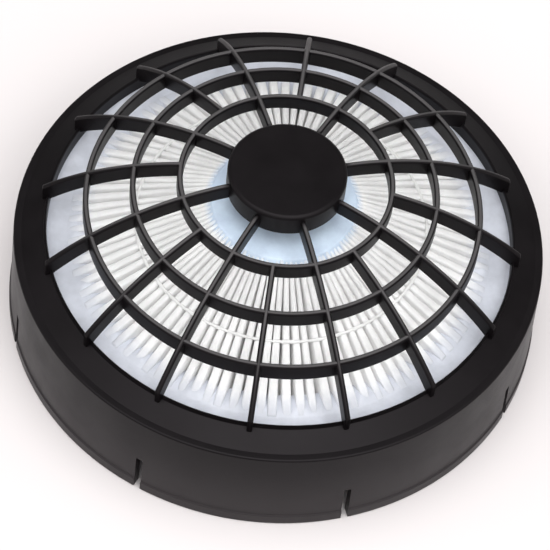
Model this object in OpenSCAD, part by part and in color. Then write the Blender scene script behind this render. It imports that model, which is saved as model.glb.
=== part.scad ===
// Vacuum dome filter: a round black housing with a domed grille over a ring of radial white pleats.
// Millimetres. The bottom edge of the skirt lies in the plane z = 0 and the filter's axis is the Z axis.

/* [Housing] */
// Outer diameter at the top of the skirt
rim_d = 190; // [184:1:220]
// Height from the bottom edge to the flat ledge at the top of the skirt
skirt_h = 39; // [32:0.5:60]
// How much the skirt's radius grows from the ledge down to the lip
skirt_flare = 0.9; // [0:0.1:2]
// Thickness of the skirt's wall at the ledge, and of the ledge and the sloped band
wall = 2.2; // [1.6:0.1:3]
// Radius of the rounded outer edge of the ledge
rim_round = 1.2; // [0.6:0.1:1.5]
// Height of the lip round the bottom edge
lip_h = 5; // [3:0.5:8]
// How far the lip stands out from the skirt
lip_out = 0.5; // [0.2:0.1:1.5]

/* [Band round the window] */
// Width of the flat ledge
ledge_w = 5; // [4:0.25:7]
// Width of the raised bead at the inner edge of the ledge
bead_w = 1.8; // [1:0.1:2.4]
// Height of the raised bead
bead_h = 0.4; // [0.2:0.1:0.8]
// Width of the sloped band between the bead and the round window that the grille covers
band_w = 6.7; // [5.5:0.1:12]
// Height of the window's edge above the ledge
band_rise = 3.5; // [2:0.25:5]
// Width and height of the bevel along the window's edge
window_bevel = 1; // [0.5:0.1:1.5]
// Thickness of the collar that runs down from the window's edge
collar_t = 2; // [1.5:0.1:3]
// How far the collar reaches below the edge potting
collar_reach = 3; // [1:0.5:6]
// Width of the step inside the skirt, level with the collar's lower end
stop_step = 0.6; // [0.3:0.1:1.5]

/* [Snap slots] */
// Number of slots round the bottom of the skirt
slot_count = 8; // [4:1:12]
// Width of a slot
slot_w = 2.6; // [1.5:0.1:5]
// Height of a slot
slot_h = 17.5; // [10:0.5:22]

/* [Grille] */
// Height of the crown of the ribs above the ledge
dome_rise = 36.4; // [33:0.2:44]
// Height of the outer ends of the spokes above the ledge
end_rise = 9.2; // [8:0.2:12]
// Radius at which the spokes end, measured outwards from the window's edge
end_reach = 2.7; // [2:0.1:3.4]
// Radius of the level middle of the dome
crown_r = 15; // [8:0.5:18]
// Thickness of a rib, whose crest is a half round
rib_t = 2; // [1.2:0.1:3]
// Height of a rib
rib_depth = 6.3; // [4:0.1:8]
// How far the crests of the ring ribs lie below those of the spokes
ring_drop = 0.15; // [0.1:0.05:0.5]
// Number of ring ribs between the hub and the window
ring_count = 3; // [2:1:4]
// Number of long spokes, each followed by a short one that starts at the first ring
long_spokes = 8; // [5:1:10]

/* [Hub] */
// Diameter of the hub cap
hub_d = 42; // [36:1:48]
// Height of the hub's flat top above the crown of the ribs
hub_step = 2.5; // [1:0.1:4]
// Height of the hub cap
hub_h = 9; // [7:0.5:12]
// Radius of the rounded edge of the hub's top
hub_round = 1.5; // [0.5:0.1:2]
// Outer diameter of the post under the hub
post_d = 14; // [10:0.5:20]

/* [Pleats] */
// Number of pleats
pleat_count = 98; // [60:1:105]
// Radius of the inner ends of the pleats
pleat_in_r = 26; // [24:0.5:30]
// Width of the potting between the pleats and the collar
pleat_margin = 8; // [5:0.5:12]
// How far the pleats' outer ends lie below the ledge
pleat_drop = 1; // [0:0.5:5]
// Height of the pleats' inner ends above their outer ends
pleat_rise = 22; // [14:0.5:24]
// Height of a pleat
pleat_depth = 15; // [8:0.5:16]
// Share of the pitch that the flat crest of a pleat takes
crest_share = 0.6; // [0.58:0.02:0.7]
// Share of the pitch that the foot of the gap between two pleats takes
gap_share = 0.14; // [0.06:0.02:0.2]
// Thickness of the folded sheet
sheet_thick = 0.4; // [0.3:0.05:0.4]

/* [Potting and glue] */
// Thickness of the potting below the pleats' ends
potting_floor = 2; // [1:0.5:4]
// How far the edge potting stays below the outer ends of the pleats
edge_potting_drop = 0.5; // [0:0.1:2]
// Gap between a glued piece and what it is glued to
glue_gap = 0.05; // [0.02:0.01:0.2]
// Diameter of the glue bead that runs across the pleats
bead_d = 1.4; // [0.8:0.1:2.4]
// Radius of the circle that the glue bead follows
bead_r = 52; // [40:0.5:60]

/* [Hidden] */
$fn = 180;

plastic_black = "#2b282b";
media_white = "#eef0f0";
potting_white = "#dfe2ec";

// housing
rim_r = rim_d / 2;
rim_z = skirt_h;
bore_r = rim_r - wall;
lip_r = rim_r + skirt_flare + lip_out;
lip_bevel = min(0.6, lip_out);
ledge_in_r = rim_r - ledge_w;
window_r = ledge_in_r - band_w;
collar_r = window_r + collar_t;
window_z = rim_z + band_rise;
band_slope = band_rise / (band_w - window_bevel);

// grille
hub_r = hub_d / 2;
end_r = window_r + end_reach;
ring_pitch = (end_r - hub_r) / (ring_count + 1);
dome_fall = dome_rise - end_rise;
dome_r = (pow(end_r - crown_r, 2) + pow(dome_fall, 2)) / (2 * dome_fall);
crown_z = rim_z + dome_rise;
spoke_step = 360 / long_spokes;
foot_r = window_r + window_bevel / 2;

// hub
hub_z = crown_z + hub_step;
hub_low_z = hub_z - hub_h;

// pleats and potting
pleat_low_z = rim_z - pleat_drop;
pleat_top_z = pleat_low_z + pleat_rise;
pleat_out_r = window_r - pleat_margin;
pleat_slope = pleat_rise / (pleat_out_r - pleat_in_r);
edge_potting_z = pleat_low_z - edge_potting_drop;
edge_potting_low_z = pleat_low_z - pleat_depth - potting_floor;
hub_potting_low_z = pleat_top_z - pleat_depth - potting_floor;
collar_z = edge_potting_low_z - collar_reach;

// Height of the rib tops, lowered by drop, at the radius r
function dome_z(r, drop) = crown_z - dome_r + sqrt(pow(dome_r - drop, 2) - pow(r - crown_r, 2));

// Angle above the level, on the dome's arc, of the middle of a spoke's crest at the radius r
function crest_angle(r) = acos((r - crown_r) / (dome_r - rib_t / 2));

// Height of the top of the pleats at the radius r
function pleat_z(r) = pleat_top_z - (r - pleat_in_r) * pleat_slope;

// Point at the radius r and the height z, turned from the angle a by the arc length x
function polar(r, a, x, z) = [r * cos(a + x / r * 180 / PI), r * sin(a + x / r * 180 / PI), z];

// Area under the rib tops lowered by drop, in the half plane right of the axis
module dome_area(drop) {
    intersection() {
        union() {
            translate([crown_r, crown_z - dome_r])
                circle(r = dome_r - drop, $fn = 360);
            translate([0, rim_z])
                square([crown_r, dome_rise - drop]);
        }
        translate([0, rim_z + wall / 2])
            square([end_r, dome_rise]);
    }
}

// Side view of a spoke below its crest, from the radius r out, with the foot that stands on the band
module spoke_side(r) {
    difference() {
        dome_area(rib_t / 2);
        intersection() {
            dome_area(rib_depth);
            square([foot_r, crown_z]);
        }
        square([r, crown_z]);
    }
}

// One spoke from the radius r out, with a half-round crest
module spoke(r) {
    last = crest_angle(end_r - rib_t / 2);
    rotate([90, 0, 0])
        linear_extrude(rib_t, center = true)
            spoke_side(r);
    translate([crown_r, 0, crown_z - dome_r])
        rotate([90, 0, 0])
            rotate(last)
                rotate_extrude(angle = crest_angle(r) - last)
                    translate([dome_r - rib_t / 2, 0])
                        circle(d = rib_t, $fn = 48);
}

// One ring rib of the radius r, with a half-round crest
module ring_rib(r) {
    low_z = dome_z(r, rib_depth);
    crest_z = dome_z(r, rib_t / 2 + ring_drop);
    rotate_extrude() {
        translate([r - rib_t / 2, low_z])
            square([rib_t, crest_z - low_z]);
        translate([r, crest_z])
            circle(d = rib_t, $fn = 48);
    }
}

module grille() {
    for (i = [0 : long_spokes - 1]) {
        rotate((i + 0.5) * spoke_step)
            spoke(hub_r - wall / 2);
        rotate(i * spoke_step)
            spoke(hub_r + ring_pitch);
    }
    for (k = [1 : ring_count])
        ring_rib(hub_r + k * ring_pitch);
}

// Hub cap: a shallow inverted cup with a rounded edge and a post that stands on the hub potting
module hub() {
    rotate_extrude()
        difference() {
            union() {
                translate([0, hub_low_z])
                    square([hub_r, hub_h - hub_round]);
                translate([0, hub_low_z])
                    square([hub_r - hub_round, hub_h]);
                translate([hub_r - hub_round, hub_z - hub_round])
                    circle(r = hub_round, $fn = 48);
            }
            translate([0, hub_low_z - 1])
                square([hub_r - wall, hub_h - wall + 1]);
        }
    translate([0, 0, pleat_top_z])
        difference() {
            cylinder(d = post_d, h = hub_z - wall / 2 - pleat_top_z);
            translate([0, 0, -1])
                cylinder(d = post_d - 2 * wall, h = hub_z - wall - pleat_top_z + 1);
        }
}

// Section of the skirt, the ledge, the band and the collar
module ring_section() {
    polygon([
        [bore_r, 0],
        [lip_r - lip_bevel, 0],
        [lip_r, lip_bevel],
        [lip_r, lip_h - lip_bevel],
        [rim_r + skirt_flare, lip_h],
        [rim_r, rim_z - rim_round],
        [rim_r - rim_round, rim_z],
        [ledge_in_r, rim_z],
        [window_r + window_bevel, window_z],
        [window_r, window_z - window_bevel],
        [window_r, collar_z],
        [collar_r, collar_z],
        [collar_r, window_z - wall - band_slope * (collar_r - window_r)],
        [ledge_in_r, rim_z - wall],
        [bore_r - stop_step, rim_z - wall],
        [bore_r - stop_step, collar_z],
        [bore_r, collar_z]
    ]);
    translate([rim_r - rim_round, rim_z - rim_round])
        circle(r = rim_round, $fn = 48);
    translate([ledge_in_r + bead_w / 2, rim_z + bead_h - bead_w / 2])
        circle(d = bead_w, $fn = 48);
}

module slots() {
    for (i = [0 : slot_count - 1])
        rotate((i + 0.5) * 360 / slot_count)
            translate([collar_r + 1, -slot_w / 2, -1])
                cube([lip_r - collar_r, slot_w, slot_h + 1]);
}

module dome_housing() {
    color(plastic_black)
        union() {
            difference() {
                rotate_extrude()
                    ring_section();
                slots();
            }
            grille();
            hub();
        }
}

// Corners of the sheet at the radius r, from a crest at the angle a to the gap after it: four on the
// top side and then four on the underside
function pleat_corners(r, a, z) =
    let (
        pitch = 2 * PI * r / pleat_count,
        crest = crest_share * pitch / 2,
        gap = gap_share * pitch / 2,
        foot_z = z - pleat_depth
    ) [
        polar(r, a, -crest, z),
        polar(r, a, crest, z),
        polar(r, a, pitch / 2 - gap, foot_z + sheet_thick),
        polar(r, a, pitch / 2 + gap, foot_z + sheet_thick),
        polar(r, a, -crest + sheet_thick, z - sheet_thick),
        polar(r, a, crest - sheet_thick, z - sheet_thick),
        polar(r, a, pitch / 2 - gap - sheet_thick, foot_z),
        polar(r, a, pitch / 2 + gap + sheet_thick, foot_z)
    ];

module pleated_media() {
    in_r = pleat_in_r + glue_gap;
    out_r = pleat_out_r - glue_gap;
    side_corners = 4;
    points = [
        for (k = [0 : pleat_count - 1])
            for (end = [in_r, out_r])
                each pleat_corners(end, k * 360 / pleat_count, pleat_z(end))
    ];
    // number of the corner c of pleat k at the inner (e = 0) or outer (e = 1) end, on the top side
    // (side = 0) or the underside (side = 1), where c runs on to the next pleat
    function id(k, e, c, side) =
        let (pleat = (k + floor(c / side_corners)) % pleat_count)
        ((pleat * 2 + e) * 2 + side) * side_corners + c % side_corners;
    faces = [
        for (k = [0 : pleat_count - 1])
            for (c = [0 : side_corners - 1])
                each [
                    [id(k, 0, c, 0), id(k, 0, c + 1, 0), id(k, 1, c + 1, 0), id(k, 1, c, 0)],
                    [id(k, 0, c, 1), id(k, 1, c, 1), id(k, 1, c + 1, 1), id(k, 0, c + 1, 1)],
                    [id(k, 0, c, 0), id(k, 0, c, 1), id(k, 0, c + 1, 1), id(k, 0, c + 1, 0)],
                    [id(k, 1, c, 0), id(k, 1, c + 1, 0), id(k, 1, c + 1, 1), id(k, 1, c, 1)]
                ]
    ];
    color(media_white)
        polyhedron(points, faces, convexity = 10);
}

module edge_potting() {
    height = edge_potting_z - edge_potting_low_z;
    color(potting_white)
        translate([0, 0, edge_potting_low_z])
            difference() {
                cylinder(r = window_r - glue_gap, h = height);
                translate([0, 0, -1])
                    cylinder(r = pleat_out_r, h = height + 2);
            }
}

module hub_potting() {
    color(potting_white)
        translate([0, 0, hub_potting_low_z])
            cylinder(r = pleat_in_r, h = pleat_top_z - hub_potting_low_z);
}

module pleat_bead() {
    lift = (bead_d / 2 + glue_gap) * sqrt(1 + pow(pleat_slope, 2));
    color(media_white)
        rotate_extrude()
            translate([bead_r, pleat_z(bead_r) + lift])
                circle(d = bead_d, $fn = 32);
}

dome_housing();
pleated_media();
edge_potting();
hub_potting();
pleat_bead();
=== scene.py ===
# Vacuum dome filter: its moulded housing, its folded media, its potting and its glue bead, with
# their finishes. Lengths are in metres. Every piece takes the place of a solid of the frame and
# rides on the one body.

import math

import bmesh
import bpy
import numpy as np
from bpy.props import FloatProperty, FloatVectorProperty, IntProperty, PointerProperty
from bpy.types import Operator, Panel, PropertyGroup
from mathutils import Matrix, Vector


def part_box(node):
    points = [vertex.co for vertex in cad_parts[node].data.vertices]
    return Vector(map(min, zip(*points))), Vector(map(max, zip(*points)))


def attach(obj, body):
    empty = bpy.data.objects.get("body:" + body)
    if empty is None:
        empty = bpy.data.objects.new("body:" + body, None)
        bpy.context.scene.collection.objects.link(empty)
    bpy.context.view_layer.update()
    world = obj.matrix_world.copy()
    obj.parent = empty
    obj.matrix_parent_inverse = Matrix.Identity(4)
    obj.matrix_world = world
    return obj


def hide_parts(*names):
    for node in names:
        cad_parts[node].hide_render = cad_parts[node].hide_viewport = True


bl_info = {
    "name": "Vacuum dome filter",
    "version": (1, 0, 0),
    "blender": (4, 5, 0),
    "location": "3D Viewport > Sidebar > Filter",
    "description": "Builds the dome filter's housing, pleats, potting and glue bead",
    "category": "Object",
}

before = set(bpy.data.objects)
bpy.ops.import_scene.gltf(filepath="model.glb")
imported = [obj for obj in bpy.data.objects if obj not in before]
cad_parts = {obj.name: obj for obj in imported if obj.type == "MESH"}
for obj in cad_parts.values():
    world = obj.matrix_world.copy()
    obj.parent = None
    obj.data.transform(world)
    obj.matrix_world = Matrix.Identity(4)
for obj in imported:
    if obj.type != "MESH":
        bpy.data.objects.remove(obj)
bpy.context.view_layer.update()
BODY = "root"

HOUSING_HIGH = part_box("dome_housing")[1]
SHEET_LOW, SHEET_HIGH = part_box("pleated_media")
RING_LOW, RING_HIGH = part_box("edge_potting")
DISC_LOW, DISC_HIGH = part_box("hub_potting")
BEAD_LOW, BEAD_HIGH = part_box("pleat_bead")
GLUE_GAP = 0.00005
WINDOW_R = RING_HIGH.x + GLUE_GAP
PLEAT_IN_R, PLEAT_OUT_R = DISC_HIGH.x, SHEET_HIGH.x

# Where the finishes, the painted sheen, the painted highlight and the painted shade change, as
# [start, end]
PAINTED_SHEEN_Z = (0.0, HOUSING_HIGH.z / 2)
HIGHLIGHT_FACING = (0.75, 0.95)
HIGHLIGHT_R = (0.0215, 0.0235)
HIGHLIGHT_Z = (0.0455, 0.0475)
WICKED_OUT_R = (PLEAT_OUT_R - 0.008, PLEAT_OUT_R + 0.002)
WICKED_AND_SHADED_IN_R = (PLEAT_IN_R, PLEAT_IN_R + 0.003)
WICKED_RAGGED = 0.004
RAGS_PER_METRE = 300.0


# Kinds of property

def length(name, description, default):
    """A length in metres."""
    return FloatProperty(
        name=name, description=description, default=default,
        subtype="DISTANCE", unit="LENGTH", precision=5,
    )


def share(name, description, default):
    """A share of something, from 0 to 1."""
    return FloatProperty(
        name=name, description=description, default=default, min=0, max=1, subtype="FACTOR"
    )


def brightness(name, description, default):
    """A brightness, where 1 is white."""
    return FloatProperty(name=name, description=description, default=default, min=0)


def amount(name, description, default, least, most):
    """A number of like things."""
    return IntProperty(name=name, description=description, default=default, min=least, max=most)


def colour(name, description, default):
    """A colour in linear values."""
    return FloatVectorProperty(
        name=name, description=description, default=default, size=3, subtype="COLOR", min=0, max=1
    )


def direction(name, description, default):
    """A direction from the origin."""
    return FloatVectorProperty(
        name=name, description=description, default=default, size=3, subtype="DIRECTION"
    )


def position(name, description, default):
    """A point in metres."""
    return FloatVectorProperty(
        name=name, description=description, default=default,
        size=3, subtype="TRANSLATION", unit="LENGTH",
    )


# Property groups

class SkirtSizes(PropertyGroup):
    """Sizes of the skirt, its ledge and the band round the window"""

    height: length("Height", "Height from the bottom edge to the ledge", 0.039)
    flare: length("Flare", "How much the skirt's radius grows towards the lip", 0.0009)
    lip: length("Lip", "How far the lip stands out from the skirt", 0.0005)
    lip_height: length("Lip height", "Height of the lip round the bottom edge", 0.005)
    wall: length("Wall", "Thickness of the walls", 0.0022)
    ledge: length("Ledge", "Width of the flat ledge", 0.0028)
    rim_round: length("Rim round", "Radius of the ledge's outer edge", 0.0008)
    ceiling: length("Ceiling", "Width of the flat ceiling and of the wall outside it", 0.005)
    band_rise: length("Band rise", "Height of the window's edge above the ledge", 0.0035)
    curb: length("Curb", "Height of the curb round the window above the band", 0.0018)
    curb_width: length("Curb width", "Width of the curb", 0.0008)
    curb_fall: length("Curb fall", "How far the curb's top falls towards the window", 0.0012)
    collar: length("Collar", "Thickness of the collar below the window", 0.002)
    collar_reach: length("Collar reach", "How far the collar reaches below the potting", 0.003)
    stop: length("Stop", "Width of the step inside the skirt", 0.0006)
    edge: length("Edge", "Radius of the small moulded edges", 0.00025)
    slots: amount("Slots", "Number of snap slots", 8, 2, 16)
    slot: length("Slot", "Width of a slot", 0.0026)
    slot_height: length("Slot height", "Height of a slot", 0.0175)


class GrilleSizes(PropertyGroup):
    """Sizes of the domed grille and of its hub"""

    rise: length("Rise", "Height of the crown of the ribs above the ledge", 0.0364)
    end_rise: length("End rise", "Height of the spokes' outer ends above the ledge", 0.0092)
    end_reach: length("End reach", "How far the spokes run past the window's edge", 0.0027)
    crown: length("Crown", "Radius of the level middle of the dome", 0.015)
    rib: length("Rib", "Thickness of a rib", 0.002)
    depth: length("Depth", "Height of a rib", 0.0063)
    ring_drop: length("Ring drop", "How far the rings' crests lie below the spokes'", 0.00015)
    rings: amount("Rings", "Number of ring ribs", 3, 1, 5)
    long_spokes: amount("Long spokes", "Number of long and of short spokes", 8, 4, 12)
    hub: length("Hub", "Radius of the hub cap", 0.021)
    hub_height: length("Hub height", "Height of the hub cap", 0.009)
    hub_round: length("Hub round", "Radius of the edge of the hub's top", 0.0015)
    post: length("Post", "Radius of the post under the hub", 0.007)


class PleatSizes(PropertyGroup):
    """Sizes of the folded sheet and of its small irregularities"""

    count: amount("Pleats", "Number of pleats", 98, 40, 140)
    depth: length("Depth", "Height of a pleat", 0.015)
    sheet: length("Sheet", "Thickness of the sheet", 0.0004)
    crest: share("Crest", "Share of the pitch that a crest takes", 0.60)
    foot: share("Foot", "Share of the pitch that the foot of a gap takes", 0.36)
    fold_radius: length("Fold radius", "Reach of a fold's rounding", 0.0007)
    sway: share("Sway", "How far a crest wanders, as a share of the pitch", 0.05)
    rise: length("Rise", "How much the crests differ in height", 0.0004)
    cast_in: length("Cast in", "How far the pleats' ends reach into the potting", 0.0009)
    cast_dip: length("Cast dip", "How far a crest dips over that reach", 0.0012)


class PottingSizes(PropertyGroup):
    """Sizes of the cast potting at both ends of the pleats"""

    meniscus: length("Meniscus", "Height that the potting creeps up a wall", 0.0007)
    creep: length("Creep", "How far the outer potting runs in between the pleats", 0.009)
    hub_creep: length("Hub creep", "How far the hub's potting runs out between the pleats", 0.0035)
    fall: length("Fall", "How far the creep's end lies below the crests", 0.0055)
    brim: length("Brim", "How far the outer potting stays below the crests' ends", 0.0005)
    web: length("Web", "Thickness of the potting between the pleats", 0.0008)
    waves: length("Waves", "How much the potting's edge rises and falls", 0.0005)


class BeadSizes(PropertyGroup):
    """Sizes of the glue bead that runs across the pleats"""

    swell: share("Swell", "How much the bead's thickness varies", 0.3)
    sag: length("Sag", "How far the bead sinks between two crests", 0.0003)
    sunk: length("Sunk", "How far the bead lies pressed into the crests", 0.0009)


class Finishes(PropertyGroup):
    """Colours of the materials, and the gloss of the moulding"""

    plastic: colour("Plastic", "Colour of the black moulding", (0.0034, 0.0027, 0.0031))
    # Painted sheen: the skirt's lower edge is paler, standing in for the pale floor's reflection
    sheen_plastic: colour("Skirt sheen", "Colour of the skirt's lower edge", (0.026, 0.023, 0.024))
    # Painted highlight: the ribs' crests are paler, standing in for the light they catch
    highlight_plastic: colour("Crest highlight", "Colour of the ribs' crests", (0.065, 0.062, 0.063))
    plastic_roughness: share("Plastic roughness", "Mean roughness of the moulding", 0.38)
    media: colour("Media", "Colour of the folded sheet", (0.955, 0.95, 0.945))
    edge_potting: colour("Edge potting", "Colour of the outer potting", (0.54, 0.56, 0.62))
    # Painted shade: the hub potting is a bluer copy of the same resin, standing in for the cool
    # shade under the hub cap
    hub_potting: colour("Hub potting", "Colour of the potting under the hub", (0.64, 0.76, 0.93))
    glue: colour("Glue", "Colour of the glue bead", (0.86, 0.86, 0.85))


class StageSizes(PropertyGroup):
    """Camera, light and floor"""

    lens: FloatProperty(
        name="Lens", description="Focal length in millimetres", default=197.85, min=20
    )
    place: position("Camera place", "Where the camera stands", (0.015, -0.64097, 0.91113))
    aim: position("Camera aim", "Point that the camera looks at", (0.00054, -0.01746, 0.039))
    roll: FloatProperty(
        name="Camera roll", description="Turn of the camera about its own line of sight",
        default=math.radians(7.157), subtype="ANGLE", unit="ROTATION",
    )
    floor: length("Floor", "Width of the floor", 6.0)
    floor_colour: colour("Floor colour", "Colour of the floor", (0.67, 0.635, 0.635))
    front_side: direction("Front side", "Direction of the front light", (0.05, -0.5, 0.86))
    left_side: direction("Left side", "Direction of the left light", (-0.68, -0.3, 0.67))
    right_side: direction("Right side", "Direction of the right light", (0.68, -0.3, 0.67))
    top_side: direction("Top side", "Direction of the light overhead", (0.0, 0.06, 1.0))
    front_level: brightness("Front level", "Brightness of the front light", 1.8)
    left_level: brightness("Left level", "Brightness of the left light", 1.35)
    right_level: brightness("Right level", "Brightness of the right light", 1.5)
    top_level: brightness("Top level", "Brightness of the light overhead", 3.3)
    room_level: brightness("Room level", "Brightness of the rest of the room", 0.25)
    sweep_level: brightness("Sweep level", "Added brightness near the horizon", 0.65)
    backdrop: colour("Backdrop", "Colour of the background", (0.985, 0.955, 0.955))
    lamp_place: position("Lamp place", "Where the key lamp stands", (0.25, -0.75, 0.95))
    lamp_size: length("Lamp size", "Width of the key lamp", 0.6)
    lamp_power: FloatProperty(
        name="Lamp power", description="Power of the key lamp in watts", default=1.5, min=0
    )


GROUPS = (
    ("filter_skirt", SkirtSizes),
    ("filter_grille", GrilleSizes),
    ("filter_pleats", PleatSizes),
    ("filter_potting", PottingSizes),
    ("filter_bead", BeadSizes),
    ("filter_finishes", Finishes),
    ("filter_stage", StageSizes),
)


# Solids, each a pair of points and faces

def grid_faces(rows, columns, wrap_rows=False, wrap_columns=False):
    """Four-cornered faces over a grid of points that is numbered row by row."""
    row = np.arange(rows if wrap_rows else rows - 1)
    column = np.arange(columns if wrap_columns else columns - 1)
    i, j = np.meshgrid(row, column, indexing="ij")
    down, right = (i + 1) % rows, (j + 1) % columns
    corners = [i * columns + j, i * columns + right, down * columns + right, down * columns + j]
    return np.stack([c.ravel() for c in corners], 1).tolist()


def rounded(corners, steps=4):
    """A closed outline from corners [x, y, rounding]. Each rounding is an arc of that radius."""
    corners = np.asarray(corners, float)
    line = []
    for before, corner, after in zip(np.roll(corners, 1, 0), corners, np.roll(corners, -1, 0)):
        middle, rounding = corner[:2], corner[2]
        if rounding == 0:
            line.append(middle)
            continue
        to_before = (before[:2] - middle) / np.linalg.norm(before[:2] - middle)
        to_after = (after[:2] - middle) / np.linalg.norm(after[:2] - middle)
        inward = (to_before + to_after) / np.linalg.norm(to_before + to_after)
        half = math.acos(np.clip(np.dot(to_before, inward), -1, 1))
        centre = middle + inward * rounding / math.sin(half)
        start = middle + to_before * rounding / math.tan(half) - centre
        end = middle + to_after * rounding / math.tan(half) - centre
        sweep = math.pi - 2 * half
        for t in np.linspace(0, 1, steps + 1):
            arm = (math.sin((1 - t) * sweep) * start + math.sin(t * sweep) * end) / math.sin(sweep)
            line.append(centre + arm)
    return np.array(line)


def revolved(outline, steps, height=None):
    """The solid that an outline [radius, height] sweeps round the Z axis. An outline that starts
    on the axis also ends there. height(angle, radius, z) may move the points up or down."""
    outline = np.asarray(outline, float)
    poles = outline[[0, -1], 1] if outline[0, 0] == 0 else []
    rim = outline[1:-1] if len(poles) else outline
    columns = len(rim)
    a, r = np.meshgrid(np.arange(steps) * math.tau / steps, rim[:, 0], indexing="ij")
    z = np.broadcast_to(rim[:, 1], r.shape)
    if height is not None:
        z = height(a, r, z)
    points = np.stack([r * np.cos(a), r * np.sin(a), z], 2).reshape(-1, 3)
    faces = grid_faces(steps, columns, wrap_rows=True, wrap_columns=not len(poles))
    for pole_z, column in zip(poles, (0, columns - 1)):
        pole = len(points)
        points = np.vstack([points, (0, 0, pole_z)])
        faces += [
            [i * columns + column, (i + 1) % steps * columns + column, pole] for i in range(steps)
        ]
    return points, faces


def lofted(sections):
    """The solid through closed sections, an array of sections x corners x 3, with flat ends."""
    rows, columns = sections.shape[:2]
    last = (rows - 1) * columns
    ends = [list(range(columns)), list(range(last, last + columns))]
    return sections.reshape(-1, 3), grid_faces(rows, columns, wrap_columns=True) + ends


def turned(solid, angle):
    """The solid turned about the Z axis."""
    points, faces = solid
    c, s = math.cos(angle), math.sin(angle)
    return points @ np.array([(c, s, 0), (-s, c, 0), (0, 0, 1)]), faces


def pleat_top(r):
    """Height of the pleats' crests at the radius r."""
    low = SHEET_LOW.z + bpy.context.scene.filter_pleats.depth
    return SHEET_HIGH.z + (low - SHEET_HIGH.z) * (r - PLEAT_IN_R) / (PLEAT_OUT_R - PLEAT_IN_R)


# Objects

def mesh_object(name, solids, smooth=True):
    """A new object that holds those solids, with all faces turned outwards."""
    points = np.vstack([solid[0] for solid in solids])
    faces, first = [], 0
    for solid in solids:
        faces += [[corner + first for corner in face] for face in solid[1]]
        first += len(solid[0])
    mesh = bpy.data.meshes.new(name)
    mesh.from_pydata(points.tolist(), [], faces)
    form = bmesh.new()
    form.from_mesh(mesh)
    bmesh.ops.recalc_face_normals(form, faces=form.faces)
    form.to_mesh(mesh)
    form.free()
    mesh.polygons.foreach_set("use_smooth", [smooth] * len(mesh.polygons))
    made = bpy.data.objects.new(name, mesh)
    bpy.context.scene.collection.objects.link(made)
    return made


def combine(whole, part, operation):
    """Unites the part with the whole, or cuts it out of it, and takes the part away."""
    modifier = whole.modifiers.new(part.name, "BOOLEAN")
    modifier.solver = "MANIFOLD"
    modifier.operation = operation
    modifier.object = part
    view = bpy.context.evaluated_depsgraph_get()
    mesh = bpy.data.meshes.new_from_object(whole.evaluated_get(view))
    if len(mesh.vertices) == len(whole.data.vertices):
        raise RuntimeError(f"{part.name} didn't combine with {whole.name}")
    whole.modifiers.clear()
    whole.data = mesh
    bpy.data.objects.remove(part)


def finish_piece(piece, material, slot, *nodes):
    """Gives the piece its material and its place in the frame."""
    piece.data.materials.clear()
    piece.data.materials.append(material)
    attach(piece, BODY)
    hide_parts(*nodes)
    return piece


# Shader parts

def put(tree, kind, **settings):
    """A new shader node with those settings."""
    made = tree.nodes.new(kind)
    for key, value in settings.items():
        setattr(made, key, value)
    return made


def feed(tree, socket, value):
    """Sets the socket to the value, or links it to the socket that the value is."""
    if isinstance(value, bpy.types.NodeSocket):
        tree.links.new(value, socket)
    else:
        socket.default_value = value


def math_node(tree, operation, first, second=0.0):
    """The result of a math node on sockets or numbers."""
    made = put(tree, "ShaderNodeMath", operation=operation)
    feed(tree, made.inputs[0], first)
    feed(tree, made.inputs[1], second)
    return made.outputs[0]


def vector_node(tree, operation, first, second=(0.0, 0.0, 0.0)):
    """A vector math node on sockets or vectors."""
    made = put(tree, "ShaderNodeVectorMath", operation=operation)
    feed(tree, made.inputs[0], first)
    feed(tree, made.inputs[1], second)
    return made


def spread(tree, value, start, end, low, high, smooth=False):
    """The value from start to end, spread over low to high."""
    made = put(tree, "ShaderNodeMapRange", interpolation_type="SMOOTHSTEP" if smooth else "LINEAR")
    for socket, given in zip(made.inputs, (value, start, end, low, high)):
        feed(tree, socket, given)
    return made.outputs["Result"]


def noise(tree, vector, scale, detail, roughness):
    """A noise texture read at that vector."""
    made = put(tree, "ShaderNodeTexNoise")
    feed(tree, made.inputs["Vector"], vector)
    feed(tree, made.inputs["Scale"], scale)
    feed(tree, made.inputs["Detail"], detail)
    feed(tree, made.inputs["Roughness"], roughness)
    return made.outputs["Fac"]


def mixed_colour(tree, factor, first, second):
    """A colour that the factor takes from the first, a socket, to the second, a colour."""
    made = put(tree, "ShaderNodeMix", data_type="RGBA")
    feed(tree, made.inputs[0], factor)
    feed(tree, made.inputs[6], first)
    made.inputs[7].default_value = (*second, 1)
    return made.outputs[2]


def z_part(tree, vector):
    """The vector's Z value."""
    parts = put(tree, "ShaderNodeSeparateXYZ")
    feed(tree, parts.inputs[0], vector)
    return parts.outputs["Z"]


def off_axis(tree, place):
    """The place's distance from the Z axis."""
    flat = vector_node(tree, "MULTIPLY", place, (1.0, 1.0, 0.0)).outputs["Vector"]
    return vector_node(tree, "LENGTH", flat).outputs["Value"]


def grain_group():
    """Fine grain for bump, and a slow cloud that varies colour and roughness."""
    tree = bpy.data.node_groups.new("SurfaceGrain", "ShaderNodeTree")
    for label, default in (("Grain Size", 0.0003), ("Cloud Size", 0.02)):
        socket = tree.interface.new_socket(label, in_out="INPUT", socket_type="NodeSocketFloat")
        socket.default_value = default
    for label in ("Height", "Cloud"):
        tree.interface.new_socket(label, in_out="OUTPUT", socket_type="NodeSocketFloat")
    given, result = tree.nodes.new("NodeGroupInput"), tree.nodes.new("NodeGroupOutput")
    place = put(tree, "ShaderNodeTexCoord").outputs["Object"]
    grain_scale = math_node(tree, "DIVIDE", 1.0, given.outputs["Grain Size"])
    cloud_scale = math_node(tree, "DIVIDE", 1.0, given.outputs["Cloud Size"])
    tree.links.new(noise(tree, place, grain_scale, 2.0, 0.5), result.inputs["Height"])
    cloud = noise(tree, place, cloud_scale, 4.0, 0.6)
    tree.links.new(spread(tree, cloud, 0.3, 0.7, 0.0, 1.0), result.inputs["Cloud"])
    return tree


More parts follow.
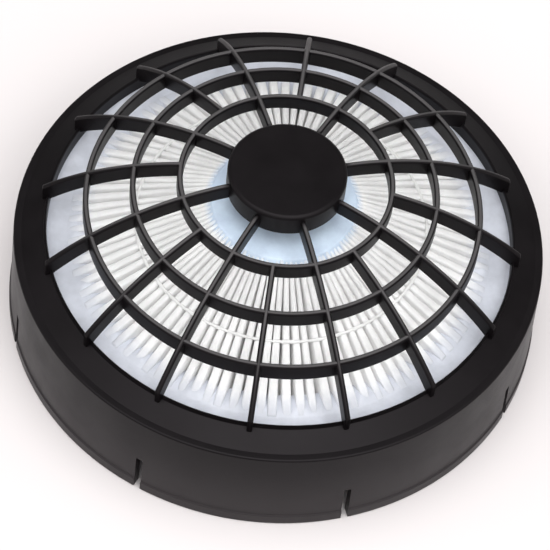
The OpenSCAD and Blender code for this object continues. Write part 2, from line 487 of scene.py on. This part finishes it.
def grained_material(name, grain_size, cloud_size, bump, roughness):
    """A material whose roughness, [low, high], and bump come from the shared grain."""
    material = bpy.data.materials.new(name)
    material.use_nodes = True
    tree = material.node_tree
    shader = tree.nodes["Principled BSDF"]
    grain = tree.nodes.new("ShaderNodeGroup")
    grain.node_tree = bpy.data.node_groups.get("SurfaceGrain") or grain_group()
    grain.inputs["Grain Size"].default_value = grain_size
    grain.inputs["Cloud Size"].default_value = cloud_size
    cloud = grain.outputs["Cloud"]
    feed(tree, shader.inputs["Roughness"], spread(tree, cloud, 0.0, 1.0, *roughness))
    relief = put(tree, "ShaderNodeBump")
    relief.inputs["Distance"].default_value = bump
    feed(tree, relief.inputs["Height"], grain.outputs["Height"])
    feed(tree, shader.inputs["Normal"], relief.outputs["Normal"])
    return material, tree, shader, cloud


def clouded(tree, cloud, base, darkest, palest):
    """The base colour, which the cloud takes from its darkest to its palest share."""
    low, high = (np.clip(np.array(base) * level, 0, 1) for level in (darkest, palest))
    made = put(tree, "ShaderNodeMix", data_type="RGBA")
    feed(tree, made.inputs[0], cloud)
    made.inputs[6].default_value = (*low, 1)
    made.inputs[7].default_value = (*high, 1)
    return made.outputs[2]


def plastic_material(finishes):
    """Satin black plastic with a fine spark-eroded grain, a painted sheen that pales the skirt
    towards the bottom, and a painted highlight on the up-facing crests of the ribs.
    """
    gloss = finishes.plastic_roughness
    material, tree, shader, cloud = grained_material(
        "housing_plastic", grain_size=0.00035, cloud_size=0.018, bump=0.00002,
        roughness=(gloss - 0.05, gloss + 0.07),
    )
    black = clouded(tree, cloud, finishes.plastic, darkest=0.8, palest=1.3)
    place = put(tree, "ShaderNodeTexCoord").outputs["Object"]
    height = z_part(tree, place)
    # Painted sheen: the lower skirt pales towards the bottom, standing in for the reflection of
    # the pale floor
    painted_sheen = spread(tree, height, *PAINTED_SHEEN_Z, 1.0, 0.0, smooth=True)
    skirt_colour = mixed_colour(tree, painted_sheen, black, finishes.sheen_plastic)
    # Painted highlight: up-facing parts of the ribs and spokes away from the hub are made paler,
    # standing in for the light their crests catch
    facing = z_part(tree, put(tree, "ShaderNodeNewGeometry").outputs["Normal"])
    upward = spread(tree, facing, *HIGHLIGHT_FACING, 0.0, 1.0, smooth=True)
    off_hub = spread(tree, off_axis(tree, place), *HIGHLIGHT_R, 0.0, 1.0)
    on_ribs = spread(tree, height, *HIGHLIGHT_Z, 0.0, 1.0)
    painted_highlight = math_node(tree, "MULTIPLY", math_node(tree, "MULTIPLY", upward, off_hub), on_ribs)
    highlighted_colour = mixed_colour(tree, painted_highlight, skirt_colour, finishes.highlight_plastic)
    feed(tree, shader.inputs["Base Color"], highlighted_colour)
    shader.inputs["Specular IOR Level"].default_value = 0.13
    shader.inputs["Specular Tint"].default_value = (1.0, 0.93, 0.97, 1)
    return material


def media_material(finishes):
    """Matte white nonwoven sheet, which the potting has tinted where it wicked up at both ends;
    the inner tint takes the hub potting's bluer colour, which is painted shade under the hub.
    """
    material, tree, shader, cloud = grained_material(
        "filter_media", grain_size=0.0002, cloud_size=0.004, bump=0.00006, roughness=(0.85, 0.95)
    )
    place = put(tree, "ShaderNodeTexCoord").outputs["Object"]
    radius = off_axis(tree, place)
    rags = noise(tree, place, RAGS_PER_METRE, 3.0, 0.6)
    reach = math_node(tree, "ADD", radius, math_node(tree, "MULTIPLY", rags, WICKED_RAGGED))
    outer = spread(tree, reach, *WICKED_OUT_R, 0.0, 0.85, smooth=True)
    # Wicked potting at the inner end, in the hub potting's bluer colour, which is painted shade
    # under the hub
    inner = spread(tree, radius, *WICKED_AND_SHADED_IN_R, 0.6, 0.0, smooth=True)
    sheet = clouded(tree, cloud, finishes.media, darkest=0.97, palest=1.02)
    wicked_and_shaded = mixed_colour(tree, outer, sheet, finishes.edge_potting)
    wicked_and_shaded = mixed_colour(tree, inner, wicked_and_shaded, finishes.hub_potting)
    feed(tree, shader.inputs["Base Color"], wicked_and_shaded)
    shader.inputs["Subsurface Weight"].default_value = 0.4
    shader.inputs["Subsurface Radius"].default_value = (1.0, 1.0, 1.0)
    shader.inputs["Subsurface Scale"].default_value = 0.0008
    return material


def potting_material(name, base):
    """Bluish-white cast polyurethane with a soft gloss."""
    material, tree, shader, cloud = grained_material(
        name, grain_size=0.003, cloud_size=0.007, bump=0.00015, roughness=(0.28, 0.4)
    )
    cast = clouded(tree, cloud, base, darkest=0.92, palest=1.12)
    feed(tree, shader.inputs["Base Color"], cast)
    return material


def glue_material(finishes):
    """White hot-melt glue."""
    material, tree, shader, cloud = grained_material(
        "glue", grain_size=0.0012, cloud_size=0.005, bump=0.00008, roughness=(0.35, 0.5)
    )
    glue = clouded(tree, cloud, finishes.glue, darkest=0.96, palest=1.0)
    feed(tree, shader.inputs["Base Color"], glue)
    return material


# Operators

class FILTER_OT_stage(Operator):
    """Puts up the camera, the light and the floor"""

    bl_idname = "filter.stage"
    bl_label = "Stage"

    FRONT_SPREAD = (8, 46)
    SIDE_SPREAD = (8, 38)
    TOP_SPREAD = (5, 30)
    SWEEP_Z = (0.08, 0.28)
    FLOOR_Z = -0.0002

    def execute(self, context):
        sizes = context.scene.filter_stage
        context.scene.view_settings.view_transform = "Standard"
        self.camera(context.scene, sizes)
        self.world(context.scene, sizes)
        self.floor(sizes)
        self.lamp("key_lamp", sizes.lamp_place, sizes.lamp_size, sizes.lamp_power)
        return {"FINISHED"}

    def camera(self, scene, sizes):
        """The camera at the photograph's viewing angle."""
        data = bpy.data.cameras.new("camera")
        data.lens = sizes.lens
        data.sensor_width = 36
        data.clip_start, data.clip_end = 0.05, 20
        made = bpy.data.objects.new("camera", data)
        place, aim = Vector(sizes.place), Vector(sizes.aim)
        look = (aim - place).to_track_quat("-Z", "Y").to_matrix()
        turn = look @ Matrix.Rotation(sizes.roll, 3, "Z")
        made.matrix_world = Matrix.Translation(place) @ turn.to_4x4()
        scene.collection.objects.link(made)
        scene.camera = made

    def world(self, scene, sizes):
        """A dim room with four soft lights, each a round glow of [narrow, wide] degrees off its
        direction, and a paler horizon. To the camera it is the plain backdrop."""
        world = bpy.data.worlds.new("world")
        world.use_nodes = True
        scene.world = world
        tree = world.node_tree
        toward = put(tree, "ShaderNodeTexCoord").outputs["Generated"]
        light = sizes.room_level
        for side, (narrow, wide), level in (
            (sizes.front_side, self.FRONT_SPREAD, sizes.front_level),
            (sizes.left_side, self.SIDE_SPREAD, sizes.left_level),
            (sizes.right_side, self.SIDE_SPREAD, sizes.right_level),
            (sizes.top_side, self.TOP_SPREAD, sizes.top_level),
        ):
            edge, core = math.cos(math.radians(wide)), math.cos(math.radians(narrow))
            near = vector_node(tree, "DOT_PRODUCT", toward, Vector(side).normalized())
            glow = spread(tree, near.outputs["Value"], edge, core, 0.0, level, smooth=True)
            light = math_node(tree, "ADD", glow, light)
        up = z_part(tree, toward)
        sweep = spread(tree, up, *self.SWEEP_Z, sizes.sweep_level, 0.0, smooth=True)
        light = math_node(tree, "ADD", light, sweep)
        to_camera = put(tree, "ShaderNodeLightPath").outputs["Is Camera Ray"]
        shown = mixed_colour(tree, to_camera, light, sizes.backdrop)
        feed(tree, tree.nodes["Background"].inputs["Color"], shown)

    def floor(self, sizes):
        """A pale floor that looks white and keeps the object's shadow."""
        half = sizes.floor / 2
        corners = half * np.array([(-1, -1, 0), (1, -1, 0), (1, 1, 0), (-1, 1, 0)])
        made = mesh_object("floor", [(corners, [[0, 1, 2, 3]])], smooth=False)
        made.location.z = self.FLOOR_Z
        material = bpy.data.materials.new("floor_white")
        material.use_nodes = True
        shader = material.node_tree.nodes["Principled BSDF"]
        shader.inputs["Base Color"].default_value = (*sizes.floor_colour, 1)
        shader.inputs["Roughness"].default_value = 1.0
        shader.inputs["Specular IOR Level"].default_value = 0.0
        made.data.materials.append(material)

    def lamp(self, name, place, size, power):
        """A square soft lamp that looks at the filter."""
        data = bpy.data.lights.new(name, "AREA")
        data.shape = "SQUARE"
        data.size = size
        data.energy = power
        made = bpy.data.objects.new(name, data)
        made.location = place
        made.rotation_euler = (-Vector(place)).to_track_quat("-Z", "Y").to_euler()
        bpy.context.scene.collection.objects.link(made)


class FILTER_OT_housing(Operator):
    """Moulds the skirt, the band, the grille and the hub as one piece"""

    bl_idname = "filter.housing"
    bl_label = "Housing"

    AROUND = 360
    HUB_AROUND = 240
    CURB_STEPS = 7
    CREST_STEPS = 10
    EDGE_STEPS = 3
    END_STEPS = 4
    SPOKE_STATIONS = 50
    CUT_PAST = 0.001
    SHARP = math.radians(35)

    def execute(self, context):
        skirt, grille = context.scene.filter_skirt, context.scene.filter_grille
        self.fall = grille.rise - grille.end_rise
        self.end_r = WINDOW_R + grille.end_reach
        self.dome_r = ((self.end_r - grille.crown) ** 2 + self.fall**2) / (2 * self.fall)
        self.ring_pitch = (self.end_r - grille.hub) / (grille.rings + 1)
        ring = revolved(self.ring_outline(skirt), self.AROUND)
        hub = revolved(self.hub_outline(skirt, grille), self.HUB_AROUND)
        housing = mesh_object("moulded_housing", [ring])
        combine(housing, mesh_object("slots", self.slots(skirt)), "DIFFERENCE")
        combine(housing, mesh_object("spokes", self.spokes(skirt, grille)), "UNION")
        combine(housing, mesh_object("ring_ribs", self.ring_ribs(skirt, grille)), "UNION")
        combine(housing, mesh_object("hub", [hub]), "UNION")
        housing.data.polygons.foreach_set("use_smooth", [True] * len(housing.data.polygons))
        housing.data.set_sharp_from_angle(angle=self.SHARP)
        housing.modifiers.new("weighted_normals", "WEIGHTED_NORMAL").keep_sharp = True
        material = plastic_material(context.scene.filter_finishes)
        finish_piece(housing, material, "housing_plastic", "dome_housing")
        return {"FINISHED"}

    def dome_z(self, skirt, grille, r, drop=0.0):
        """Height of the rib tops, lowered by drop, at the radius r."""
        out = np.maximum(np.asarray(r, float) - grille.crown, 0)
        centre_z = skirt.height + grille.rise - self.dome_r
        return centre_z + np.sqrt((self.dome_r - drop) ** 2 - out**2)

    def ring_outline(self, skirt):
        """Section of the skirt, the ledge, the band, the curb and the collar."""
        lip_r = HOUSING_HIGH.x
        foot_r = lip_r - skirt.lip
        rim_r = foot_r - skirt.flare
        bore_r = rim_r - skirt.wall
        ledge_in_r = rim_r - skirt.ledge
        window_z = skirt.height + skirt.band_rise
        slope = skirt.band_rise / (ledge_in_r - WINDOW_R - skirt.curb_width)
        collar_r, collar_z = WINDOW_R + skirt.collar, RING_LOW.z - skirt.collar_reach
        ceiling_z = skirt.height - skirt.wall
        return rounded([
            (bore_r, 0, skirt.edge),
            (lip_r, 0, skirt.edge * 2),
            (lip_r, skirt.lip_height - skirt.lip, skirt.edge),
            (foot_r, skirt.lip_height, skirt.edge),
            (rim_r, skirt.height, skirt.rim_round),
            (ledge_in_r, skirt.height, skirt.edge),
            (WINDOW_R + skirt.curb_width + skirt.edge, window_z - slope * skirt.edge, skirt.edge),
            *self.curb_arc(skirt, window_z + skirt.curb),
            (WINDOW_R, collar_z, skirt.edge),
            (collar_r, collar_z, skirt.edge),
            (collar_r, window_z - skirt.wall - slope * skirt.collar, skirt.edge),
            (rim_r - skirt.ceiling, ceiling_z, 0),
            (bore_r - skirt.stop, ceiling_z, skirt.edge),
            (bore_r - skirt.stop, collar_z, skirt.edge),
            (bore_r, collar_z, 0),
        ])

    def curb_arc(self, skirt, top_z):
        """Corners over the curb, from its outer edge down to the window."""
        turn = np.linspace(0, math.pi / 2, self.CURB_STEPS + 1)
        r = WINDOW_R + skirt.curb_width * (1 - np.sin(turn))
        z = top_z - skirt.curb_fall * (1 - np.cos(turn))
        return [(*corner, 0) for corner in zip(r, z)]

    def slots(self, skirt):
        """Cutters for the snap slots, with small radii at their upper ends."""
        half, below = skirt.slot / 2, -self.CUT_PAST
        outline = rounded([
            (-half, below, 0), (half, below, 0),
            (half, skirt.slot_height, skirt.edge * 2), (-half, skirt.slot_height, skirt.edge * 2),
        ])
        reach = (WINDOW_R + skirt.collar + self.CUT_PAST, HOUSING_HIGH.x + self.CUT_PAST)
        sections = np.array([[(x, y, z) for y, z in outline] for x in reach])
        step = math.tau / skirt.slots
        return [turned(lofted(sections), (i + 0.5) * step) for i in range(skirt.slots)]

    def rib_section(self, skirt, grille):
        """A rib's section from its lower right corner over the crest: the place across, the height
        in the lower rounding, and the height in the crest as a share of the crest's radius."""
        half, edge = grille.rib / 2, skirt.edge
        low = np.linspace(0, math.pi / 2, self.EDGE_STEPS + 1)
        over = np.linspace(0, math.pi, self.CREST_STEPS + 1)
        corner = half - edge + edge * np.sin(low)
        corner_z = edge - edge * np.cos(low)
        across = np.concatenate([corner, half * np.cos(over), -corner[::-1]])
        low_z = np.concatenate([corner_z, np.zeros(len(over)), corner_z[::-1]])
        crest_z = np.concatenate([np.zeros(len(low)), np.sin(over), np.zeros(len(low))])
        in_crest = np.arange(len(across)) // len(low) > 0
        in_crest[len(low) + len(over):] = False
        return across, low_z, crest_z, in_crest

    def spoke(self, skirt, grille, start_r):
        """One spoke along the X axis from start_r out, with a rounded end and a foot."""
        half, end_round = grille.rib / 2, skirt.edge * 2
        foot_r, foot_z = WINDOW_R + skirt.curb_width / 2, skirt.height + skirt.wall / 2
        turn = np.linspace(0, math.pi / 2, self.END_STEPS + 1)
        r = np.concatenate([
            np.linspace(start_r, foot_r - skirt.edge, self.SPOKE_STATIONS), [foot_r],
            self.end_r - end_round * (1 - np.sin(turn)),
        ])
        narrow = np.concatenate([np.zeros(len(r) - len(turn)), end_round * (1 - np.cos(turn))])
        low = np.where(r < foot_r, self.dome_z(skirt, grille, r, grille.depth), foot_z)
        axis_z = self.dome_z(skirt, grille, r, half)
        tilt = np.arcsin(np.maximum(r - grille.crown, 0) / (self.dome_r - half))
        crest = (half - narrow) / np.cos(tilt)
        across, low_z, crest_z, in_crest = self.rib_section(skirt, grille)
        y = across[None, :] * ((half - narrow) / half)[:, None]
        top = axis_z[:, None] + crest[:, None] * crest_z
        z = np.where(in_crest, top, low[:, None] + low_z)
        x = np.broadcast_to(r[:, None], y.shape)
        return lofted(np.stack([x, y, z], 2))

    def spokes(self, skirt, grille):
        """Long spokes from the hub, and a short one after each from the first ring."""
        step = math.tau / grille.long_spokes
        long_one = self.spoke(skirt, grille, grille.hub - skirt.wall / 2)
        short_one = self.spoke(skirt, grille, grille.hub + self.ring_pitch)
        solids = [turned(long_one, (i + 0.5) * step) for i in range(grille.long_spokes)]
        return solids + [turned(short_one, i * step) for i in range(grille.long_spokes)]

    def ring_ribs(self, skirt, grille):
        """The rings between the hub and the window, with half-round crests."""
        half = grille.rib / 2
        turn = np.linspace(0, math.pi, self.CREST_STEPS + 1)
        solids = []
        for k in range(1, grille.rings + 1):
            r = grille.hub + k * self.ring_pitch
            low = float(self.dome_z(skirt, grille, r, grille.depth))
            axis_z = float(self.dome_z(skirt, grille, r, half + grille.ring_drop))
            crest = [(r + half * math.cos(a), axis_z + half * math.sin(a), 0) for a in turn]
            outline = rounded([*crest, (r - half, low, skirt.edge), (r + half, low, skirt.edge)])
            solids.append(revolved(outline, self.AROUND))
        return solids

    def hub_outline(self, skirt, grille):
        """Section of the hub cap and of the hollow post that stands on the potting."""
        top, low = HOUSING_HIGH.z, HOUSING_HIGH.z - grille.hub_height
        ceiling = top - skirt.wall
        cap_in, post_in = grille.hub - skirt.wall, grille.post - skirt.wall
        return rounded([
            (0, top, 0),
            (grille.hub, top, grille.hub_round),
            (grille.hub, low, skirt.edge),
            (cap_in, low, skirt.edge),
            (cap_in, ceiling, skirt.edge * 2),
            (grille.post, ceiling, skirt.edge * 2),
            (grille.post, DISC_HIGH.z, 0),
            (post_in, DISC_HIGH.z, 0),
            (post_in, ceiling, skirt.edge * 2),
            (0, ceiling, 0),
        ])


class FILTER_OT_pleats(Operator):
    """Folds the white sheet into radial pleats"""

    bl_idname = "filter.pleats"
    bl_label = "Pleats"

    SEED = 7
    MAIN_STATIONS = 19
    END_STATIONS = 3
    FOLD_STEPS = 3
    MOST_OF_A_SIDE = 0.45
    STRONGEST = 1.8
    CREST_VARIES = 0.08

    def execute(self, context):
        sizes = context.scene.filter_pleats
        radius, crest_z, share_out = self.stations(sizes)
        corners = self.corners(sizes, radius, crest_z, share_out)
        middle = self.rounded_line(corners, radius, sizes.fold_radius)
        sheet = mesh_object("pleated_sheet", [self.thickened(middle, radius, sizes.sheet)])
        material = media_material(context.scene.filter_finishes)
        finish_piece(sheet, material, "filter_media", "pleated_media")
        return {"FINISHED"}

    def stations(self, sizes):
        """Radius, crest height and share of the way out at each station, with both ends bent down
        into the potting."""
        share_out = np.linspace(0, 1, self.MAIN_STATIONS)
        in_z, out_z = SHEET_HIGH.z, SHEET_LOW.z + sizes.depth
        radius = PLEAT_IN_R + (PLEAT_OUT_R - PLEAT_IN_R) * share_out
        crest_z = in_z + (out_z - in_z) * share_out
        beyond = np.linspace(0, 1, self.END_STATIONS + 1)[1:]
        dip = sizes.cast_dip * beyond**2
        radius = np.concatenate([
            PLEAT_IN_R - sizes.cast_in * beyond[::-1], radius, PLEAT_OUT_R + sizes.cast_in * beyond
        ])
        crest_z = np.concatenate([in_z - dip[::-1], crest_z, out_z - dip])
        share_out = np.concatenate([beyond * 0, share_out, beyond * 0 + 1])
        return radius, crest_z, share_out

    def corners(self, sizes, radius, crest_z, share_out):
        """The four corners of each pleat, as [distance round the circle, height], at each station.
        Each pleat leans, wanders and rises a little in its own way."""
        count = sizes.count
        random = np.random.default_rng(self.SEED)
        phase = random.uniform(0, math.tau, (2, count, 1))
        strength = random.normal(0, 1, (4, count, 1)).clip(-self.STRONGEST, self.STRONGEST)
        wander = strength[0] + 0.6 * strength[1] * np.sin(math.pi * share_out + phase[0])
        lift = 0.5 * strength[2] + 0.5 * np.sin(math.tau * share_out + phase[1])
        shift = wander.T * sizes.sway
        half_crest = sizes.crest / 2 * (1 + self.CREST_VARIES * strength[3].T)
        foot_shift = (shift + np.roll(shift, -1, axis=1)) / 2
        number = np.arange(count)
        turns = np.stack([
            number + shift - half_crest,
            number + shift + half_crest,
            number + foot_shift + 0.5 - sizes.foot / 2,
            number + foot_shift + 0.5 + sizes.foot / 2,
        ], 2)
        across = turns * (math.tau / count) * radius[:, None, None]
        top = crest_z[:, None] - sizes.sheet / 2 + lift.T * sizes.rise - sizes.rise
        low = np.broadcast_to((crest_z - sizes.depth + sizes.sheet / 2)[:, None], top.shape)
        up = np.stack([top, top, low, low], 2)
        return np.stack([across, up], 3).reshape(len(radius), count * 4, 2)

    def neighbours(self, line, radius):
        """The points before and after each point of a line that closes round the circle."""
        before, after = np.roll(line, 1, axis=1), np.roll(line, -1, axis=1)
        before[:, 0, 0] -= math.tau * radius
        after[:, -1, 0] += math.tau * radius
        return before, after

    def rounded_line(self, corners, radius, reach):
        """The line through the corners, with each corner bent into a curve of that reach."""
        arms = []
        for other in self.neighbours(corners, radius):
            arm = other - corners
            size = np.linalg.norm(arm, axis=2, keepdims=True)
            arms.append(arm / size * np.minimum(reach, size * self.MOST_OF_A_SIDE))
        steps = np.linspace(0, 1, self.FOLD_STEPS + 1)
        curve = [corners + arms[0] * (1 - t) ** 2 + arms[1] * t**2 for t in steps]
        return np.stack(curve, 2).reshape(len(radius), -1, 2)

    def thickened(self, middle, radius, sheet):
        """The closed sheet whose two sides lie half a thickness from the middle line."""
        before, after = self.neighbours(middle, radius)
        along = after - before
        along /= np.linalg.norm(along, axis=2, keepdims=True)
        normal = np.stack([-along[:, :, 1], along[:, :, 0]], 2) * sheet / 2
        sides = []
        for flat in (middle + normal, middle - normal):
            angle = flat[:, :, 0] / radius[:, None]
            r = np.broadcast_to(radius[:, None], angle.shape)
            sides.append(np.stack([r * np.cos(angle), r * np.sin(angle), flat[:, :, 1]], 2))
        rows, columns = middle.shape[:2]
        loops = np.concatenate([sides[0], sides[1][::-1]])
        faces = grid_faces(2 * rows, columns, wrap_rows=True, wrap_columns=True)
        return loops.reshape(-1, 3), faces


class FILTER_OT_potting(Operator):
    """Casts the potting round both ends of the pleats"""

    bl_idname = "filter.potting"
    bl_label = "Potting"

    STEPS_PER_PLEAT = 4
    CREEP_STEPS = 11
    SHOULDER = 0.0012
    DISH = 0.0002
    DISH_R = 0.6
    FADE_AREA = 0.0001
    RIPPLES = ((23, 0), (37, 1), (61, 2), (97, 3))
    MENISCUS = ((0.0, 1.0), (0.0003, 0.5), (0.0008, 0.15), (0.0016, 0.0))
    SHARP = math.radians(50)

    def execute(self, context):
        sizes = context.scene.filter_potting
        finishes = context.scene.filter_finishes
        steps = context.scene.filter_pleats.count * self.STEPS_PER_PLEAT
        waves = self.waves(sizes)
        ring = mesh_object("edge_potting_cast", [revolved(self.ring_outline(sizes), steps, waves)])
        disc = mesh_object("hub_potting_cast", [revolved(self.disc_outline(sizes), steps, waves)])
        for piece, base, node in ((ring, finishes.edge_potting, "edge_potting"),
                                  (disc, finishes.hub_potting, "hub_potting")):
            piece.data.set_sharp_from_angle(angle=self.SHARP)
            finish_piece(piece, potting_material(node, base), "potting", node)
        return {"FINISHED"}

    def waves(self, sizes):
        """A height function that lets the creep between the pleats rise and fall, and no more."""
        def height(a, r, z):
            between = np.clip((r - PLEAT_IN_R) * (PLEAT_OUT_R - r) / self.FADE_AREA, 0, 1)
            ripple = sum(np.sin(a * number + shift) for number, shift in self.RIPPLES)
            return z + between * sizes.waves * ripple / 2
        return height

    def ring_outline(self, sizes):
        """The outer ring, with a meniscus at the collar and a web in between the pleats."""
        out_r, low, high = RING_HIGH.x, RING_LOW.z, RING_HIGH.z
        start, end = PLEAT_OUT_R + self.SHOULDER, PLEAT_OUT_R - sizes.creep
        over, under = self.web(sizes, start, end, sizes.brim, high + sizes.meniscus)
        meniscus = [(out_r - back, high + sizes.meniscus * rise) for back, rise in self.MENISCUS]
        return [(out_r, low), *meniscus, *over, *under, (start, low)]

    def disc_outline(self, sizes):
        """The middle disc, a little dished, with a web that runs out between the pleats."""
        out_r, low, high = DISC_HIGH.x, DISC_LOW.z, DISC_HIGH.z
        start, end = out_r - self.SHOULDER, out_r + sizes.hub_creep
        over, under = self.web(sizes, start, end, 0.0, high)
        dish = [(0, high - self.DISH), (out_r * self.DISH_R, high - self.DISH / 2)]
        return [*dish, *over, *under, (start, low), (0, low)]

    def web(self, sizes, start, end, first_brim, top):
        """The points over a web from start to end, no higher than top, and those back under it.
        It lies below the crests, by first_brim at its start and by the brim and the fall at its
        end."""
        t = np.linspace(0, 1, self.CREEP_STEPS + 1)
        r = np.linspace(start, end, self.CREEP_STEPS + 1)
        brim = first_brim + (sizes.brim - first_brim) * t
        z = np.minimum(pleat_top(r) - brim - sizes.fall * t**2, top)
        return list(zip(r, z)), list(zip(r[::-1], z[::-1] - sizes.web))


class FILTER_OT_bead(Operator):
    """Lays the glue bead across the pleats"""

    bl_idname = "filter.bead"
    bl_label = "Glue bead"

    STEPS_PER_PLEAT = 6
    SIDES = 10
    SWELLS = 37
    SWELL_SHIFTS = 11

    def execute(self, context):
        sizes = context.scene.filter_bead
        count = context.scene.filter_pleats.count
        thick = (BEAD_HIGH.z - BEAD_LOW.z) / 2
        path_r = BEAD_HIGH.x - thick
        path_z = (BEAD_HIGH.z + BEAD_LOW.z) / 2
        steps = count * self.STEPS_PER_PLEAT
        angle = (np.arange(steps) * math.tau / steps)[:, None]
        wave = np.sin(angle * self.SWELLS + np.sin(angle * self.SWELL_SHIFTS))
        swell = thick * (1 - sizes.swell * (0.5 + 0.5 * wave))
        sink = sizes.sag * (0.5 - 0.5 * np.cos(angle * count))
        side = np.arange(self.SIDES) * math.tau / self.SIDES
        r = path_r + swell * np.cos(side)
        z = path_z - sizes.sunk - sink + swell * np.sin(side)
        points = np.stack([r * np.cos(angle), r * np.sin(angle), z], 2).reshape(-1, 3)
        bead = mesh_object("glue_bead", [(points, grid_faces(steps, self.SIDES, True, True))])
        finish_piece(bead, glue_material(context.scene.filter_finishes), "glue", "pleat_bead")
        return {"FINISHED"}


class FILTER_PT_panel(Panel):
    """Lists the filter's operators and values"""

    bl_idname = "FILTER_PT_panel"
    bl_label = "Vacuum dome filter"
    bl_space_type = "VIEW_3D"
    bl_region_type = "UI"
    bl_category = "Filter"

    def draw(self, context):
        for step in STEPS:
            self.layout.operator(step)
        for name, group in GROUPS:
            box = self.layout.box()
            box.label(text=group.__doc__)
            for value in group.__annotations__:
                box.prop(getattr(context.scene, name), value)


OPERATORS = (
    FILTER_OT_stage, FILTER_OT_housing, FILTER_OT_pleats, FILTER_OT_potting, FILTER_OT_bead
)
STEPS = [operator.bl_idname for operator in OPERATORS]


def register():
    """Makes the groups, the operators and the panel known."""
    for name, group in GROUPS:
        bpy.utils.register_class(group)
        setattr(bpy.types.Scene, name, PointerProperty(type=group))
    for part in (*OPERATORS, FILTER_PT_panel):
        bpy.utils.register_class(part)


def unregister():
    """Takes them away again."""
    for part in (FILTER_PT_panel, *reversed(OPERATORS)):
        bpy.utils.unregister_class(part)
    for name, group in reversed(GROUPS):
        delattr(bpy.types.Scene, name)
        bpy.utils.unregister_class(group)


def main():
    """Makes the groups known and runs every operator in order."""
    register()
    for step in STEPS:
        category, name = step.split(".")
        getattr(getattr(bpy.ops, category), name)()


if __name__ == "__main__":
    main()
